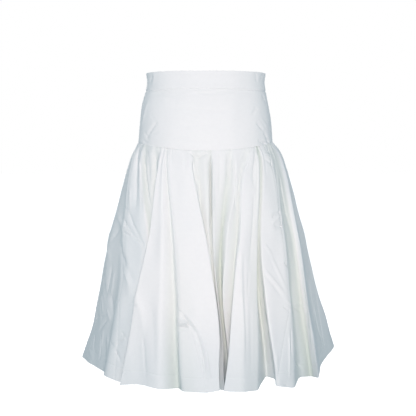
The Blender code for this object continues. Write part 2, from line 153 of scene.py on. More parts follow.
# Bends of single folds' lines. Columns: fold; share of the way down where it bends most; how far above
# and below that the bend reaches; degrees that it lies aside there.
BENDS = (
    ("left_godet_ridge", 0.6, 0.25, 0.25, 2),
    ("gather_valley_a", 0.25, 0.2, 0.15, -1.5),
    ("gather_ridge_a", 0.25, 0.2, 0.15, -1.8),
    ("gather_valley_b", 0.2, 0.17, 0.2, -1.3),
    ("gather_ridge_b", 0.2, 0.17, 0.2, -1.5),
    ("gather_valley_c", 0.2, 0.15, 0.2, -1.9),
    ("left_panel_edge", 0.62, 0.25, 0.25, -1.8),
    ("main_fold_edge", 0.8, 0.4, 0.2, 1.9),
    ("main_fold_valley", 0.13, 0.13, 0.16, 2),
    ("centre_valley", 0.74, 0.34, 0.2, 2.4),
    ("centre_ridge_b", 0.8, 0.4, 0.18, 1.6),
    ("centre_fold_edge", 0.18, 0.15, 0.15, 2.4),
    ("centre_fold_edge", 0.62, 0.2, 0.25, -1.7),
    ("centre_face_valley", 0.12, 0.12, 0.3, -5.4),
    ("right_fold_edge", 0.12, 0.13, 0.3, -7),
    ("right_face_crease", 0.12, 0.13, 0.3, -3),
)
PINCH = 0.045  # share of the way down over which the folds open under the seam

# Columns: node; fold under its point; folds that it covers to the left and right at the hem; how it
# opens out to the left and right, as the power of the way down.
GODETS = (
    ("godet_back", "back_ridge", 0.9, 0.85, 0.45, 0.45),
    ("godet_back_left", "back_left_ridge_c", 0.85, 0.9, 0.45, 0.45),
    ("godet_left", "left_corner", 0.9, 0.85, 0.45, 0.45),
    ("godet_front_left_outer", "left_godet_ridge", 0.8, 0.75, 0.45, 0.7),
    ("godet_front_left", "godet_fold_ridge", 0.9, 1, 0.45, 0.45),
    ("godet_front_centre", "centre_valley", 0.7, 0.72, 0.45, 0.45),
    ("godet_front_right", "bright_panel_right", 1, 0.6, 1, 0.45),
    ("godet_right", "right_corner", 0.7, 0.8, 0.45, 0.45),
    ("godet_back_right_outer", "back_right_ridge_a", 0.9, 0.8, 0.45, 0.6),
    ("godet_back_right", "back_right_ridge_c", 0.9, 0.8, 0.6, 0.45),
)
GODET_POINT = 0.68
GODET_TIP_DROP = 0.0006  # share of the way down over which a godet's blunt tip opens
HEM_FOLD_TOP = 0.945
BODY_PANELS = (
    ("back_left", -180, -90),
    ("front", -90, 90),
    ("back_right", 90, 180),
)

# ---- cloth sizes that only show here
SKIRT_WALL = 0.9
HEM_WALL = 1.5
YOKE_WALL = 1.3
BAND_WALL = 1.9


# ---- the form
def curve_at(xs, ys, x):
    """Cubic curve through the points (xs, ys), at every x. Each ys may itself be a row of values."""
    xs, ys, x = (np.asarray(values, float) for values in (xs, ys, x))
    extra = (1,) * (ys.ndim - 1)
    gaps = np.diff(xs)
    steps = np.diff(ys, axis=0) / gaps.reshape((-1,) + extra)
    slopes = np.empty_like(ys)
    slopes[0], slopes[-1] = steps[0], steps[-1]
    for k in range(1, len(xs) - 1):
        slopes[k] = (steps[k - 1] * gaps[k] + steps[k] * gaps[k - 1]) / (gaps[k - 1] + gaps[k])
    i = np.clip(np.searchsorted(xs, x) - 1, 0, len(xs) - 2)
    width = gaps[i].reshape(x.shape + extra)
    t = np.clip((x - xs[i]) / gaps[i], 0, 1).reshape(x.shape + extra)
    rise = ys[i + 1] - ys[i]
    bend_in = slopes[i] * width - rise
    bend_out = rise - slopes[i + 1] * width
    return ys[i] + rise * t + t * (1 - t) * (bend_in * (1 - t) + bend_out * t)


def ring_radius(rings, along, angle):
    """Distance from the axis to the ring; along and angle (radians) have the same shape."""
    sizes = curve_at(rings[:, 0], rings[:, 1:], along)
    half_width = np.where(np.sin(angle) < 0, sizes[..., 0], sizes[..., 1])
    half_depth = np.where(np.cos(angle) > 0, sizes[..., 2], sizes[..., 3])
    across = (abs(np.sin(angle)) / half_width) ** SQUARENESS
    through = (abs(np.cos(angle)) / half_depth) ** SQUARENESS
    return (across + through) ** (-1 / SQUARENESS)


def at_angle(angle, radius, depth):
    return np.stack((radius * np.sin(angle), -radius * np.cos(angle), -depth), axis=-1)


def seam_depth(angle):
    """Depth of the yoke seam, which dips at the front and the back."""
    turn = np.cos(angle)
    dip = np.where(turn > 0, SEAM_FRONT_DIP, SEAM_BACK_DIP)
    return SEAM_SIDE_DEPTH + dip * abs(turn) ** SEAM_DIP_POWER


def ease(x):
    x = np.clip(x, 0, 1)
    return x * x * (3 - 2 * x)


FOLD_INDEX = {fold[0]: number for number, fold in enumerate(FOLDS)}
FOLD_COUNT = len(FOLDS)
FOLD_SIZES = np.array([fold[1:] for fold in FOLDS], float).T
FOLD_ANGLES, FOLD_INSIDES = FOLD_SIZES[:3], FOLD_SIZES[3:6]
FOLD_HEMS, FOLD_ROUNDINGS = FOLD_SIZES[6:]
KEY_PLACES = (0.0, MIDDLE, 1.0)


def fold_corners(down):
    """Where every fold's line lies at each share of the way down: rows, folds, xyz."""
    turn = curve_at(KEY_PLACES, FOLD_ANGLES, down)
    for fold, place, above, below, most in BENDS:
        reach = np.where(down < place, above, below)
        turn[:, FOLD_INDEX[fold]] += most * ease(1 - abs(down - place) / reach)
    inside = curve_at(KEY_PLACES, FOLD_INSIDES, down) * ease(down / PINCH)[:, None]
    angle = np.radians(turn)
    seam = seam_depth(np.radians(FOLD_ANGLES[0])) + SEAM_GAP
    depth = seam + (FOLD_HEMS - seam) * down[:, None]
    share = np.broadcast_to(down[:, None], angle.shape)
    return at_angle(angle, ring_radius(SKIRT_RINGS, share, angle) - inside, depth)


def mixed(a, b, share):
    return a + (b - a) * share


def skirt_point(around, down):
    """Points of the cloth's base form. around counts folds and has rows and columns; down has rows."""
    corners = fold_corners(down)
    nearest = np.floor(around + 0.5).astype(int)
    offset = (around - nearest)[..., None]
    rows = np.arange(len(down))[:, None]
    corner = corners[rows, nearest % FOLD_COUNT]
    before = corners[rows, (nearest - 1) % FOLD_COUNT]
    after = corners[rows, (nearest + 1) % FOLD_COUNT]
    rounding = FOLD_ROUNDINGS[nearest % FOLD_COUNT][..., None]
    flat = np.where(offset < 0, mixed(corner, before, -offset), mixed(corner, after, offset))
    t = (offset + rounding) / (2 * rounding)
    start = mixed(corner, before, rounding)
    end = mixed(corner, after, rounding)
    bend = mixed(mixed(start, corner, t), mixed(corner, end, t), t)
    return np.where(abs(offset) >= rounding, flat, bend)


STEP_AROUND = 0.1
STEP_DOWN = 0.01


def unit(vectors):
    return vectors / np.linalg.norm(vectors, axis=-1, keepdims=True)


def outward(around, down):
    along = skirt_point(around + STEP_AROUND, down) - skirt_point(around - STEP_AROUND, down)
    low = np.minimum(1.0, down + STEP_DOWN)
    high = np.maximum(0.0, down - STEP_DOWN)
    fall = skirt_point(around, low) - skirt_point(around, high)
    return unit(np.cross(fall, along))


def reach_at(spread, down):
    """Folds that a godet has spread to one side; spread is the folds at the hem and the power."""
    folds, power = spread
    return folds * np.clip((down - GODET_POINT) / (1 - GODET_POINT), 0, 1) ** power


def godet_spreads(row):
    """A godet's spread to the left, as folds below 0, and to the right."""
    left_reach, right_reach, left_power, right_power = row[2:]
    return (-left_reach, left_power), (right_reach, right_power)


# ---- rows and columns of points
SKIRT_LENGTH = 530.0  # about, for the rows' spacing and the hem's stitching
# Rows added to the even ones, and the least share of the way down between two rows.
SEAM_ROWS = np.linspace(0, 0.05, 12)
POINT_ROWS = (GODET_POINT, GODET_POINT + GODET_TIP_DROP, GODET_POINT + 0.003)
HEM_ROWS = (HEM_FOLD_TOP - 0.004, HEM_FOLD_TOP, HEM_FOLD_TOP + 0.004, 0.994, 0.9975)
LEAST_ROW_GAP = 0.0004


def skirt_rows():
    """Shares of the way down, closer together under the yoke seam, at a godet's point and the hem."""
    even = np.linspace(0, 1, round(SKIRT_LENGTH / GRID) + 1)
    rows = sorted([*even, *SEAM_ROWS, *POINT_ROWS, *HEM_ROWS])
    kept = [rows[0]]
    for row in rows[1:]:
        if row - kept[-1] > LEAST_ROW_GAP:
            kept.append(row)
    return np.array(kept)


ROWS = skirt_rows()
# A godet's first row is the one where its blunt tip has opened.
GODET_ROWS = ROWS[ROWS > GODET_POINT + GODET_TIP_DROP / 2]
# Columns are spaced by the cloth's length round at these shares of the way down, in steps of a fold.
COLUMN_HEIGHTS = np.array((0.1, 0.4, 0.7, 1.0))
STEPS_IN_A_FOLD = 40
LEAST_STEP = 0.25
LEAST_COLUMNS = 6
ZONE = 1.0  # folds beside a godet where a gore's columns make room for it


def face_columns(first, last):
    """Places round the cloth from one to another, about a grid's spacing apart where it is widest."""
    fine = np.linspace(first, last, 1 + STEPS_IN_A_FOLD * math.ceil(last - first))
    points = skirt_point(np.broadcast_to(fine, (len(COLUMN_HEIGHTS), len(fine))), COLUMN_HEIGHTS)
    lengths = np.linalg.norm(np.diff(points, axis=1), axis=-1).max(axis=0)
    run = np.cumsum(np.insert(np.maximum(lengths, LEAST_STEP), 0, 0))
    count = max(LEAST_COLUMNS, round(run[-1] / GRID))
    return np.interp(np.linspace(0, run[-1], count + 1), run, fine)


def gore_places(first, first_spread, last, last_spread):
    """Rows and columns of places of a gore between the godets at its two seams."""
    places = np.repeat(face_columns(first, last)[None, :], len(ROWS), axis=0)
    first_zone = first + first_spread[0] + ZONE
    last_zone = last + last_spread[0] - ZONE
    if first_zone > last_zone:
        first_zone = last_zone = (first + first_spread[0] + last + last_spread[0]) / 2
    left_edge = (first + reach_at(first_spread, ROWS))[:, None]
    right_edge = (last + reach_at(last_spread, ROWS))[:, None]
    near_left = left_edge + (first_zone - left_edge) * (places - first) / (first_zone - first)
    near_right = right_edge + (last_zone - right_edge) * (last - places) / (last - last_zone)
    moved = np.where(places < first_zone, near_left, places)
    return np.where(places > last_zone, near_right, moved)


def godet_places(centre, left_spread, right_spread):
    """Rows and columns of places of a godet, which opens out from its point."""
    columns = face_columns(centre + left_spread[0], centre + right_spread[0]) - centre
    left = reach_at(left_spread, GODET_ROWS)[:, None] / left_spread[0]
    right = reach_at(right_spread, GODET_ROWS)[:, None] / right_spread[0]
    return centre + np.where(columns < 0, columns * left, columns * right)


# ---- creases
LINE_POINTS = 9
CREASE_SPREAD = 0.9  # folds past a crease's own that it may mark
CREASE_MARGIN = 3  # widths from a crease past which it marks nothing
CREASE_SHAPE = 1.6  # power of its profile: higher is flatter on top


def short_way(span):
    """The same span of folds by the shorter way round the skirt."""
    return (span + FOLD_COUNT / 2) % FOLD_COUNT - FOLD_COUNT / 2


def skirt_crease(row):
    """Line of a crease on the skirt with the folds it runs through, its height and its width."""
    start, past, top, end, end_past, bottom, bow, height, width = row
    first = FOLD_INDEX[start] + past
    span = FOLD_INDEX[end or start] + end_past - first
    last = first + short_way(span)
    share = np.linspace(0, 1, LINE_POINTS)
    around = mixed(first, last, share) + bow * 4 * share * (1 - share)
    line = skirt_point(around[:, None], mixed(top, bottom, share))[:, 0]
    return line, (around.min(), around.max()), height, width


def line_distance(points, line):
    """Distance from each point to a line, and how far along the line its nearest place is."""
    best = np.full(len(points), np.inf)
    place = np.zeros(len(points))
    count = len(line) - 1
    for k in range(count):
        step = line[k + 1] - line[k]
        share = np.clip((points - line[k]) @ step / (step @ step), 0, 1)
        gap = np.linalg.norm(points - line[k] - share[:, None] * step, axis=-1)
        closer = gap < best
        best = np.where(closer, gap, best)
        place = np.where(closer, (k + share) / count, place)
    return best, place


LEAD, TAIL = 0.22, 0.38  # shares of a crease over which it rises and dies away


def crease_rise(points, around, creases):
    """Height that all the creases together give each point."""
    rise = np.zeros(points.shape[:-1])
    for line, folds, height, width in creases:
        margin = CREASE_MARGIN * width
        near = ((points > line.min(axis=0) - margin) & (points < line.max(axis=0) + margin)).all(axis=-1)
        if folds is not None:
            off = abs(short_way(around - (folds[0] + folds[1]) / 2))
            near &= off < (folds[1] - folds[0]) / 2 + CREASE_SPREAD
        if not near.any():
            continue
        gap, place = line_distance(points[near], line)
        strength = np.minimum(1, place / LEAD) * np.minimum(1, (1 - place) / TAIL)
        rise[near] += height * ease(strength) * np.exp(-(gap / width) ** CREASE_SHAPE)
    return rise


# Creases of the skirt. Columns: fold it starts at, folds past it and share of the way down; the same
# for its end, where "" is the fold that it starts at; how many folds it bows aside; height (below 0 is
# a trough) and width.
SKIRT_CREASES = (
    # Long drag lines and ripples high on the left side.
    ("left_godet_ridge", -0.45, 0.325, "gather_valley_a", -0.1, 0.42, 0, -3.1, 3),
    ("left_godet_ridge", -0.5, 0.345, "gather_valley_a", 0, 0.43, 0, 2.8, 4),
    ("left_godet_ridge", 0.25, 0.295, "gather_valley_a", 0.25, 0.435, -0.1, -2.8, 2.8),
    ("left_godet_ridge", -0.45, 0.39, "gather_ridge_a", -0.45, 0.45, 0.65, -3.5, 3),
    ("left_godet_dip", 0.25, 0.28, "left_godet_ridge", 0.45, 0.305, 0.1, -1.4, 2.6),
    ("left_godet_ridge", 0.25, 0.19, "", 0.35, 0.31, 0.05, 1.7, 3),
    ("left_godet_ridge", -0.2, 0.52, "gather_valley_a", -0.2, 0.63, -0.05, 1.7, 2.5),
    ("left_side_dip", 0.15, 0.32, "gather_valley_a", -0.15, 0.415, -0.3, 3, 7),
    ("left_godet_ridge", -0.4, 0.47, "gather_valley_a", -0.1, 0.605, 0, -3, 7),
    ("left_side_dip", 0.5, 0.535, "", 0.35, 0.705, 0, -2, 6),
    # Gathers at the left that run far down.
    ("gather_ridge_a", -0.25, 0.025, "", 0.4, 0.345, 0.4, 2.4, 3),
    ("left_godet_ridge", 0.5, 0.03, "gather_valley_a", -0.2, 0.31, 0.2, -4.2, 5),
    ("gather_ridge_a", 0, 0.025, "gather_valley_a", 0.5, 0.35, 0.65, -2, 2.4),
    ("gather_valley_b", -0.05, 0.05, "gather_ridge_b", 0, 0.29, 0, -4.6, 2.6),
    ("gather_valley_b", 0.5, 0.01, "gather_ridge_b", 0.05, 0.175, 0.15, -2.5, 2.4),
    ("gather_valley_c", -0.25, 0.015, "", 0.1, 0.24, 0, -2.8, 2.4),
    ("gather_ridge_b", 0.2, 0.015, "", 0.3, 0.225, 0.2, 2.2, 2.6),
    ("gather_ridge_a", 0.25, 0.015, "gather_valley_b", -0.45, 0.325, 0.65, 2.1, 2.6),
    # Crumples low on the left side.
    ("left_side_dip", 0, 0.455, "left_godet_dip", 0, 0.37, -0.05, -2, 5.4),
    ("left_side_dip", -0.15, 0.39, "", 0.5, 0.535, -0.45, 2, 6.8),
    ("left_side_dip", -0.15, 0.54, "", -0.15, 0.67, 0.05, -1.5, 5.4),
    ("left_godet_dip", -0.25, 0.56, "", -0.35, 0.705, 0, 1.5, 5.4),
    ("left_side_dip", -0.25, 0.685, "", 0.35, 0.775, 0.05, 2, 4.1),
    ("left_corner", 0.5, 0.8, "left_godet_dip", -0.4, 0.775, 0, -2, 4.1),
    ("left_side_dip", 0.5, 0.74, "left_godet_dip", -0.1, 0.79, 0, 2, 3.8),
    ("left_godet_dip", -0.35, 0.78, "left_side_dip", 0.1, 0.86, 0, -2.2, 4.1),
    ("left_side_dip", -0.15, 0.87, "", 0.35, 0.96, -0.1, -1.8, 3.5),
    ("left_side_dip", 0.35, 0.86, "left_godet_dip", -0.45, 0.98, 0.1, -1.8, 3.5),
    ("left_side_dip", 0.45, 0.83, "left_godet_dip", -0.4, 0.93, 0, 1.5, 3.8),
    ("left_corner", 0.35, 0.94, "left_side_dip", 0.2, 0.985, 0.3, 1.2, 4.1),
    ("left_godet_ridge", -0.15, 0.865, "", 0.4, 0.87, 0, -2.8, 2.5),
    ("left_godet_ridge", 0.4, 0.87, "gather_valley_a", -0.15, 0.82, 0, -2.2, 2.5),
    ("left_godet_ridge", 0.4, 0.875, "gather_valley_a", 0.05, 0.93, -0.05, -2.5, 2.5),
    ("gather_valley_a", -0.4, 0.845, "", 0, 0.81, -0.05, 2.1, 2.5),
    ("gather_valley_a", -0.4, 0.805, "", 0.1, 0.83, -0.05, -2, 2.4),
    # Broad facets there.
    ("left_side_dip", -0.4, 0.58, "", 0.5, 0.72, 0, -2, 9),
    ("left_corner", 0.6, 0.68, "left_side_dip", 0.3, 0.84, 0, 2, 8),
    ("left_side_dip", 0.6, 0.66, "left_godet_dip", 0.2, 0.8, 0, -3, 9),
    ("left_godet_dip", -0.3, 0.84, "", 0.4, 0.98, 0, 3.5, 8),
    ("left_godet_dip", 0.2, 0.43, "left_godet_ridge", 0.1, 0.6, 0.1, -3.5, 9),
    ("left_godet_ridge", 0.2, 0.5, "gather_valley_a", -0.3, 0.68, 0, 3, 10),
    # The broad left panel.
    ("left_panel_dip", -0.15, 0.795, "", 0.3, 0.985, 0.05, -1.8, 2.4),
    ("left_panel_edge", -0.3, 0.61, "left_panel_dip", -0.2, 0.815, 0.35, 2, 9),
    ("left_panel_dip", 0.15, 0.65, "left_panel_ridge", -0.2, 0.995, 0.15, -1.8, 10),
    ("left_panel_edge", -0.05, 0.67, "", 0.3, 0.675, 0, -2.1, 2.4),
    # The buckle over the front left godet's point, its edge, and the curve that falls from it.
    ("godet_fold_ridge", -0.3, 0.725, "", 0.5, 0.73, 0.1, 6, 2.8),
    ("godet_fold_ridge", -0.5, 0.75, "", 0.5, 0.745, 0.15, -6, 3),
    ("godet_fold_ridge", 0, 0.69, "godet_right_seam", -0.25, 0.77, 0.1, -3, 2.6),
    ("godet_fold_ridge", 0.25, 0.685, "godet_right_seam", -0.1, 0.77, 0.1, 2.4, 3),
    ("godet_right_seam", -0.3, 0.74, "", 0, 0.98, 0.15, -3.2, 2.8),
    ("godet_right_seam", -0.1, 0.74, "", 0.25, 0.985, 0.15, 2, 3),
    # Puckers and lines of the centre folds.
    ("main_fold_edge", -0.25, 0.01, "main_fold_valley", 0.15, 0.04, 0.3, -2.8, 2.4),
    ("main_fold_valley", 0.15, 0.04, "centre_valley", -0.4, 0.005, -0.15, -2.8, 2.4),
    ("main_fold_valley", 0.25, 0, "", 0.3, 0.025, -0.05, 2.1, 3),
    ("main_fold_edge", 0.45, 0.04, "main_fold_valley", -0.4, 0.175, -0.05, -4.6, 3.4),
    ("centre_valley", 0, 0.005, "", 0.25, 0.42, -0.15, -4.2, 2.4),
    ("centre_ridge_b", -0.05, 0.005, "", 0.2, 0.375, -0.15, 2.2, 2.4),
    ("centre_ridge_c", -0.4, 0.01, "", -0.25, 0.21, -0.05, -1.4, 2.6),
    ("centre_ridge_c", 0.2, 0.01, "deep_valley", -0.15, 0.2, -0.15, 1.3, 3),
    ("deep_valley", 0.2, 0.01, "", 0.5, 0.21, 0, -1.4, 2.6),
    ("centre_fold_edge", -0.3, 0.01, "", -0.3, 0.17, -0.1, 1.7, 2.3),
    ("centre_fold_edge", 0, 0.01, "centre_face_valley", -0.1, 0.29, -0.4, -2.8, 2.4),
    ("centre_fold_edge", 0.45, 0.66, "right_fold_edge", 0, 0.76, -0.75, -1.7, 2.4),
    # Lines of the fold right of the centre.
    ("right_face_crease", 0.45, 0.01, "", 0.45, 0.18, -0.2, -3.4, 3.6),
    ("right_panel_edge", -0.15, 0.02, "", -0.15, 0.395, 0, 1.8, 2.4),
    ("right_face_crease", 0.45, 0.19, "", 0.4, 0.515, 0.1, -2, 2.4),
    ("right_face_crease", 0.4, 0.515, "", 0.3, 0.635, 0, -1.4, 2.4),
    ("right_fold_edge", 0.35, 0.395, "right_face_crease", -0.05, 0.965, 0.35, 1.7, 2.4),
    ("right_face_crease", -0.05, 0.415, "", 0.1, 0.97, 0.15, -1.7, 2.6),
    ("right_face_crease", 0.5, 0.64, "", 0.5, 0.97, 0, -1, 4),
    # A star of little folds under the yoke at the right.
    ("bright_panel_left", 0.25, 0.03, "side_valley_floor", 0.4, 0.03, -0.15, -1.4, 3.2),
    ("bright_panel_left", 0, 0.05, "side_valley", -0.1, 0.11, -0.05, -1.5, 3.4),
    ("side_valley", -0.4, 0.01, "bright_panel_right", 0.05, 0.115, -0.25, -1.6, 3.4),
    # The broad right panel and the valley behind it.
    ("side_valley", 0.1, 0.06, "bright_panel_right", 0.05, 0.425, -0.4, -2, 3.8),
    ("side_valley", 0.25, 0.125, "side_valley_floor", -0.05, 0.435, 0.05, -3.1, 2.6),
    ("bright_panel_left", 0.5, 0.315, "side_valley", -0.45, 0.275, -0.25, -2.8, 2.4),
    ("bright_panel_left", 0.45, 0.335, "bright_panel_right", 0.1, 0.295, 0, 2, 2.6),
    ("bright_panel_right", -0.45, 0.34, "side_valley", -0.35, 0.35, -0.25, -3.4, 2.8),
    ("bright_panel_right", -0.45, 0.36, "side_valley", 0, 0.335, -0.25, -2, 2.4),
    ("bright_panel_left", 0.1, 0.42, "", 0.45, 0.475, 0, 1.5, 2.6),
    ("bright_panel_left", -0.1, 0.51, "bright_panel_right", -0.1, 0.65, 0.05, 2.1, 2.5),
    ("bright_panel_left", -0.1, 0.535, "bright_panel_right", -0.25, 0.655, 0.05, -1.5, 3.4),
    ("bright_panel_left", 0.35, 0.465, "bright_panel_right", -0.1, 0.62, 0, 1.7, 2.5),
    ("bright_panel_right", -0.1, 0.495, "side_valley", -0.25, 0.535, -0.15, -3.1, 2.6),
    ("bright_panel_right", -0.25, 0.65, "", 0.15, 0.68, 0.05, 1.7, 2.4),
    ("bright_panel_right", -0.3, 0.675, "", 0.1, 0.705, -0.05, -1.8, 2.4),
    ("bright_panel_right", -0.15, 0.78, "", -0.3, 0.995, 0, 2, 2.4),
    ("bright_panel_left", 0.2, 0.86, "", 0, 0.975, 0, 1.7, 2.4),
    ("bright_panel_right", 0, 0.76, "", -0.15, 0.89, 0, -2, 2.6),
    ("side_valley", 0.25, 0.69, "right_blade", -0.4, 0.715, 0.05, 1.8, 2.4),
    ("side_valley", 0, 0.7, "side_valley_floor", 0.25, 0.735, -0.05, -1.7, 2.6),
    ("bright_panel_right", 0.15, 0.89, "side_valley", 0.5, 0.985, 0.05, -2.5, 2.6),
    ("right_blade", -0.2, 0.575, "side_valley_floor", 0.45, 0.95, 0.2, 1.7, 2.8),
    ("right_corner_valley", 0.45, 0.61, "", 0.05, 0.88, -0.1, 1.7, 3.4),
    ("right_corner_valley", 0.3, 0.735, "", 0.3, 0.94, -0.05, -1.7, 4),
    ("right_blade", 0.1, 0.935, "right_corner", -0.4, 0.975, -0.1, -1.7, 2.5),
    ("bright_panel_left", 0.2, 0.98, "bright_panel_right", -0.45, 1, 0.15, -2.1, 3),
    # Drags and crumples of the back, like the front's.
    ("back_side_face", -0.4, 0.31, "left_behind_corner", -0.2, 0.4, 0.1, -2.8, 3),
    ("back_side_face", -0.3, 0.34, "left_behind_corner", 0, 0.45, 0.2, 2.2, 3.6),
    ("back_side_ridge", 0.3, 0.43, "back_side_face", 0.4, 0.38, 0, -2.1, 2.8),
    ("left_behind_corner", 0.4, 0.6, "left_corner", 0.1, 0.7, 0, -2.2, 3.4),
    ("back_side_face", 0.1, 0.72, "", 0.5, 0.83, 0.1, 1.8, 3.2),
    ("back_left_ridge_c", 0.2, 0.16, "", 0.4, 0.3, 0.05, -2, 2.8),
    ("back_left_ridge_c", -0.35, 0.47, "", 0.3, 0.58, 0.1, 1.8, 3),
    ("back_left_ridge_c", -0.3, 0.51, "", 0.1, 0.6, 0.05, -2.2, 2.6),
    ("back_left_face", -0.45, 0.2, "", 0.2, 0.29, 0.1, -2.1, 2.8),
    ("back_left_face", -0.2, 0.62, "", 0.35, 0.55, 0, 1.7, 3),
    ("back_left_face", 0, 0.7, "", -0.3, 0.93, 0.1, -1.7, 2.6),
    ("back_left_ridge_a", 0.3, 0.03, "back_left_face", -0.2, 0.07, 0.1, -2.5, 2.4),
    ("back_face", -0.35, 0.13, "", 0.1, 0.25, 0.05, -2.2, 2.8),
    ("back_face", -0.1, 0.4, "", 0.4, 0.47, 0.1, 1.7, 3.2),
    ("back_face", -0.2, 0.45, "", 0.3, 0.53, 0.05, -2, 2.8),
    ("back_face", 0.2, 0.78, "", -0.1, 0.95, 0, -1.4, 3),
    ("back_right_face_c", -0.3, 0.04, "", 0.3, 0.1, 0.2, -2.4, 2.4),
    ("back_right_face_c", 0.1, 0.3, "", -0.3, 0.42, 0.1, 1.8, 3),
    ("back_right_face_c", 0.2, 0.58, "", -0.25, 0.66, 0, -2.1, 2.8),
    ("back_right_face_c", -0.1, 0.74, "", 0.1, 0.97, 0.1, 1.4, 4),
    ("back_right_face_a", -0.4, 0.22, "", 0.3, 0.31, 0.15, -2.7, 2.8),
    ("back_right_face_a", -0.3, 0.27, "", 0.3, 0.35, 0.1, 2, 3),
    ("back_right_face_a", 0, 0.52, "", 0.3, 0.68, 0.1, -1.7, 3.2),
    ("right_back_face", -0.5, 0.15, "", 0.2, 0.26, 0.1, -2.4, 2.8),
    ("right_back_face", -0.3, 0.37, "", 0.4, 0.44, 0.1, 2, 3),
    ("right_back_face", -0.2, 0.42, "", 0.4, 0.5, 0.1, -2.5, 2.8),
    ("right_back_face", 0.1, 0.76, "", -0.3, 0.9, 0, -1.8, 2.8),
    ("right_back_ridge", 0.2, 0.64, "right_back_face", -0.1, 0.73, 0, 1.8, 3),
)
# Creases of the yoke and waistband. Columns: angle and depth where it starts and ends, height, width.
BODY_CREASES = (
    # Sides of the yoke, and the faint drags across its front.
    (-51, 118, -66, 162, -2.9, 3.2),
    (-61.5, 98, -52, 122.5, -0.7, 3),
    (-57, 148, -48, 139, -1.6, 3),
    (-66, 66.5, -74.5, 133, 2.1, 3.4),
    (-68, 143, -59, 164.5, -1.9, 3),
    (54, 120, 63, 141, -2.6, 3.2),
    (63, 141, 72, 176, -2.9, 3.2),
    (69, 52, 75, 75, -2.1, 3),
    (57.5, 84, 49, 106, -1.8, 3),
    (59.5, 110, 70.5, 133.5, 1, 3.4),
    (54, 162.5, 68, 174, -2.2, 2.8),
    (-69, 164.5, -60, 172, -1.9, 2.4),
    (59.5, 172, 73, 162, -2.1, 2.4),
    (-67, 52, -13, 62, -1.1, 3.4),
    (-47, 87.5, 36, 95, -1.1, 6),
    (-40, 130, 47, 125, -1.1, 6),
    (-47.5, 160, 21, 167.5, -0.6, 5),
    # Soft waves under the waistband.
    (-62, 50, -8, 47, -1.7, 3.2),
    (-24, 54.5, 34, 51.5, -1.4, 3.2),
    (6, 47.5, 62, 50, -1.7, 3.2),
    # The waistband's ends at the front.
    (-66, 2, -73, 29.5, -1.8, 2.6),
    (61.5, 0, 64, 28.5, -1.8, 2.6),
    (77, 0, 68, 23, -1.9, 2.6),
    (-62, 2.5, -66.5, 33, 1.4, 2.8),
    # The back, much as the front.
    (-122, 70, -104, 96, -2.1, 3.2),
    (-108, 118, -124, 152, -2.6, 3.2),
    (-101, 134, -114, 158, 1.9, 3.4),
    (-150, 110, -176, 128, -1.9, 3.6),
    (-140, 152, -172, 158, -1, 5),
    (108, 66, 126, 88, -1.9, 3.2),
    (103, 124, 120, 155, -2.7, 3.2),
    (112, 138, 100, 160, 1.9, 3.2),
    (146, 96, 176, 104, -1.6, 4),
    (138, 144, 172, 156, -1, 5),
    (176, 60, 178, 86, -1.9, 3),
    (-177, 132, -174, 160, -1.8, 3),
    (112, 4, 109, 34, -1.6, 2.6),
    (-118, 4, -114, 32, -1.6, 2.6),
)


def body_point(angle, depth):
    return at_angle(angle, ring_radius(BODY_RINGS, depth, angle), depth)


def body_crease(row):
    start, top, end, bottom, height, width = row
    share = np.linspace(0, 1, LINE_POINTS)
    line = body_point(np.radians(mixed(start, end, share)), mixed(top, bottom, share))
    return line, None, height, width


# Gathers under the yoke seam: sharp little folds, uneven in place, length and depth.
GATHERS = 118
GATHER_SEED = 20
GATHER_REACH = (0.025, 0.15)  # shares of the way down that they reach
GATHER_HEIGHT = (0.5, 2.0)
GATHER_WIDTH = (2.0, 3.8)
GATHER_JITTER = 0.45  # how far one may lie aside, as a share of their spacing
GATHER_LEAN = 0.22  # folds that its foot lies aside, as a normal spread
GATHER_HEAD = -0.3  # how far it starts above the seam, as a share of its reach
GATHER_LIFT = 3.0
GATHER_FOLDS = 0.2  # folds to each side that it may mark
RIDGE_EVERY = 3  # one in so many is a ridge, and lower than the troughs
RIDGE_HEIGHT = 0.8
SMOOTH_FRONT = 0.45  # how strong they are at the centre front, next to the sides


def seam_gathers():
    draw = np.random.default_rng(GATHER_SEED)
    creases = []
    for number in range(GATHERS):
        first = (number + draw.uniform(-GATHER_JITTER, GATHER_JITTER)) * FOLD_COUNT / GATHERS
        last = first + draw.normal(0, GATHER_LEAN)
        bottom = GATHER_REACH[0] * (GATHER_REACH[1] / GATHER_REACH[0]) ** draw.random()
        share = np.linspace(0, 1, LINE_POINTS)
        down = mixed(GATHER_HEAD * bottom, bottom, share).clip(0)
        line = skirt_point(mixed(first, last, share)[:, None], down)[:, 0]
        line = line + np.array((0, 0, 1.0)) * np.linspace(GATHER_LIFT, 0, LINE_POINTS)[:, None]
        side = abs(math.sin(math.radians(FOLD_ANGLES[0][int(first) % FOLD_COUNT])))
        height = draw.uniform(*GATHER_HEIGHT) * mixed(SMOOTH_FRONT, 1, side)
        height *= -1 if number % RIDGE_EVERY else RIDGE_HEIGHT
        folds = (first - GATHER_FOLDS, first + GATHER_FOLDS)
        creases.append((line, folds, height, draw.uniform(*GATHER_WIDTH)))
    return creases


# Slow waves all over, so that no face is flat: longer down the cloth than across it.
WAVE_SEED = 7
WAVES = 16
WAVE_LENGTH = (34.0, 120.0)
WAVE_LEAN = 0.6
WAVE_STRETCH = 2.4
WAVE_HEIGHT = 0.68
WAVE_GROWTH = 0.6  # power by which longer waves are higher


